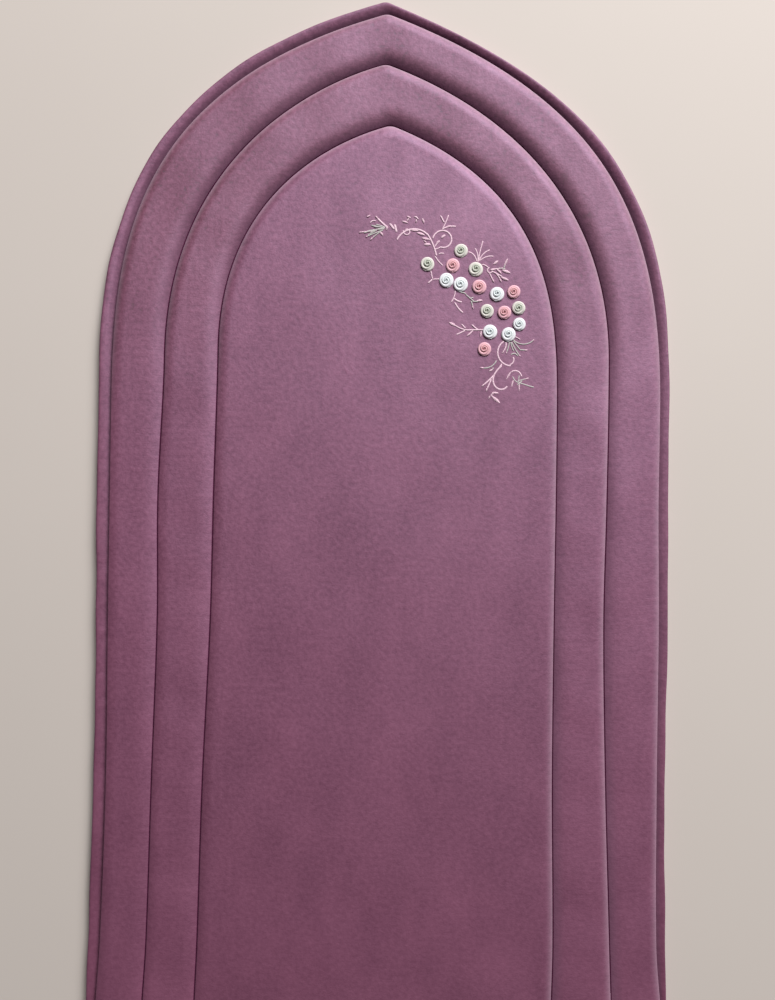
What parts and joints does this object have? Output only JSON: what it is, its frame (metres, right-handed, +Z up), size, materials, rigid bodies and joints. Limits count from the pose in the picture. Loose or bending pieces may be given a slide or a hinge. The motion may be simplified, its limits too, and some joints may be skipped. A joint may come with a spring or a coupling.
{
  "type": "padded prayer rug",
  "caption": "Foam-padded velvet prayer rug in a pointed-arch outline, with nested padded bands, a rolled edge and a corner spray of ribbon roses.",
  "frame": {"origin": "middle of the rug's box, on the floor that it lies on", "axes": "+Z up out of the pile, +Y from the straight foot to the point of the arch, +X to the right of someone standing at the foot"},
  "size_m": [0.65, 1.2, 0.0232],
  "materials": {
    "velvet_edge": "plum velvet rolled edge over a plain base cloth, short dense pile, matt with a soft sheen",
    "velvet_outer_band": "plum velvet over foam, short dense pile, fine ribbed weave, matt with a soft sheen",
    "velvet_middle_band": "plum velvet over foam, short dense pile, fine ribbed weave, matt with a soft sheen",
    "velvet_centre_panel": "plum velvet over foam, short dense pile, matt with a soft sheen",
    "ribbon_white": "cool white satin ribbon, rolled",
    "ribbon_pink": "dusty pink satin ribbon, rolled",
    "ribbon_sage": "pale sage satin ribbon, rolled",
    "thread_pink": "pale pink satin stitch, raised thread",
    "thread_sage": "grey sage satin stitch, raised thread"
  },
  "bodies": {
    "root": {"backing": "velvet_edge", "outer_band": "velvet_outer_band", "middle_band": "velvet_middle_band", "centre_panel": "velvet_centre_panel", "rosette_01": "ribbon_sage", "rosette_02": "ribbon_sage", "rosette_03": "ribbon_pink", "rosette_04": "ribbon_sage", "rosette_05": "ribbon_white", "rosette_06": "ribbon_white", "rosette_07": "ribbon_pink", "rosette_08": "ribbon_white", "rosette_09": "ribbon_pink", "rosette_10": "ribbon_sage", "rosette_11": "ribbon_pink", "rosette_12": "ribbon_sage", "rosette_13": "ribbon_white", "rosette_14": "ribbon_white", "rosette_15": "ribbon_white", "rosette_16": "ribbon_pink"}
  },
  "joints": []
}
